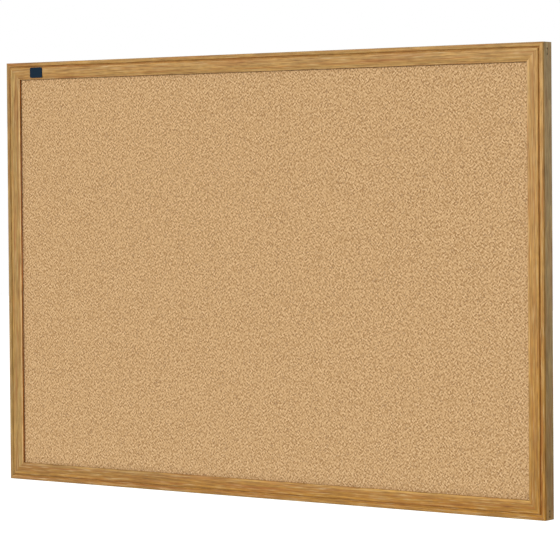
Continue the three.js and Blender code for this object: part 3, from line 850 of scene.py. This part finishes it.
def metalMaterial(name, look, finish):
    material, tree = newMaterial(name)
    place = addNode(tree, "ShaderNodeTexCoord")
    spangles = addNode(tree, "ShaderNodeTexVoronoi", {"Scale": 1 / finish["spangle"], "Randomness": 1},
                       {"Vector": place.outputs["Object"]})
    grain = addNode(tree, "ShaderNodeSeparateColor", links={"Color": spangles.outputs["Color"]})
    clouds = addNode(tree, "ShaderNodeTexNoise", {
        "Scale": 1 / finish["spangle"], "Detail": 4, "Roughness": 0.6},
        {"Vector": place.outputs["Object"]})
    # scratches run up and down, as the pieces were drawn and pressed
    scratchScale = 1 / finish["scratch"]
    drawn = addNode(tree, "ShaderNodeMapping", {
        "Scale": (scratchScale, scratchScale, scratchScale * look["drawnOut"])},
        {"Vector": place.outputs["Object"]})
    scratches = addNode(tree, "ShaderNodeTexNoise", {"Scale": 1, "Detail": 2},
                        {"Vector": drawn.outputs[0]})
    tarnishShare = addNode(tree, "ShaderNodeMapRange", {
        "From Min": finish["tarnishFrom"], "From Max": finish["tarnishFrom"] + look["tarnishFade"],
        "To Max": look["tarnishShare"]}, {"Value": clouds.outputs["Fac"]})
    tone = addNode(tree, "ShaderNodeMix", {
        "data_type": "RGBA", 6: linear(finish["tone"]), 7: linear(finish["tarnish"])},
        {0: tarnishShare.outputs[0]})
    spangleShare = addNode(tree, "ShaderNodeMapRange", {
        "To Min": look["spangleDark"], "To Max": look["spangleLight"]}, {"Value": grain.outputs[0]})
    figured = addNode(tree, "ShaderNodeVectorMath", {"operation": "SCALE"},
                      {0: tone.outputs[2], "Scale": spangleShare.outputs[0]})
    sheen = addNode(tree, "ShaderNodeMath", {
        "operation": "MULTIPLY_ADD", 1: look["scratchRoughness"], 2: finish["roughness"]},
        {0: scratches.outputs["Fac"]})
    dulled = addNode(tree, "ShaderNodeMath", {"operation": "MULTIPLY_ADD", 1: look["tarnishRoughness"]},
                     {0: tarnishShare.outputs[0], 2: sheen.outputs[0]})
    relief = addNode(tree, "ShaderNodeBump", {
        "Strength": look["bumpStrength"], "Distance": finish["scratchDepth"]},
        {"Height": scratches.outputs["Fac"]})
    shader = addNode(tree, "ShaderNodeBsdfPrincipled", {"Metallic": 1}, {
        "Base Color": figured.outputs[0], "Roughness": dulled.outputs[0], "Normal": relief.outputs[0]})
    finishMaterial(tree, shader)
    return material


for metalName, metalFinish in steel["finishes"].items():
    metal = metalMaterial(metalName, steel, metalFinish)
    for name in nodesNamed(*metalFinish["starts"]):
        refinedCopy(name, metal, metalFinish["smoothUpTo"], metalFinish["bevel"], metalFinish["levels"])
print("steel dressed")

# Bumpers: moulded black rubber, matt, with the grey bloom and dust that rubber gathers
bumper = {
    "tone": "#222224",
    "bloom": "#4a4947",
    "patch": 5 * mm,
    "bloomFrom": 0.42,
    "bloomFull": 0.72,
    "bloomShare": 0.6,
    "patchRoughness": 0.2,   # added by the patches
    "grit": 0.5 * mm,        # the mould's own is finer, drawn coarse so that it shows
    "bump": {"Strength": 0.3, "Distance": 0.05 * mm},
    "roughness": 0.72,
    "gloss": {"IOR": 1.52, "Specular IOR Level": 0.4},
    "smoothUpTo": 40,
    "easedEdge": 0.2 * mm,
}


def rubberMaterial(look):
    material, tree = newMaterial("moulded black rubber")
    place = addNode(tree, "ShaderNodeTexCoord")
    grit = addNode(tree, "ShaderNodeTexNoise", {"Scale": 1 / look["grit"], "Detail": 2},
                   {"Vector": place.outputs["Object"]})
    patches = addNode(tree, "ShaderNodeTexNoise", {"Scale": 1 / look["patch"], "Detail": 3},
                      {"Vector": place.outputs["Object"]})
    bloomShare = addNode(tree, "ShaderNodeMapRange", {
        "From Min": look["bloomFrom"], "From Max": look["bloomFull"], "To Max": look["bloomShare"]},
        {"Value": patches.outputs["Fac"]})
    tone = addNode(tree, "ShaderNodeMix", {
        "data_type": "RGBA", 6: linear(look["tone"]), 7: linear(look["bloom"])},
        {0: bloomShare.outputs[0]})
    sheen = addNode(tree, "ShaderNodeMath", {
        "operation": "MULTIPLY_ADD", 1: look["patchRoughness"], 2: look["roughness"]},
        {0: patches.outputs["Fac"]})
    relief = addNode(tree, "ShaderNodeBump", look["bump"], {"Height": grit.outputs["Fac"]})
    shader = addNode(tree, "ShaderNodeBsdfPrincipled", look["gloss"], {
        "Base Color": tone.outputs[2], "Roughness": sheen.outputs[0], "Normal": relief.outputs[0]})
    finishMaterial(tree, shader)
    return material


rubber = rubberMaterial(bumper)
for name in nodesNamed("wall_bumper"):
    refinedCopy(name, rubber, bumper["smoothUpTo"], bumper["easedEdge"])
print("bumpers dressed")
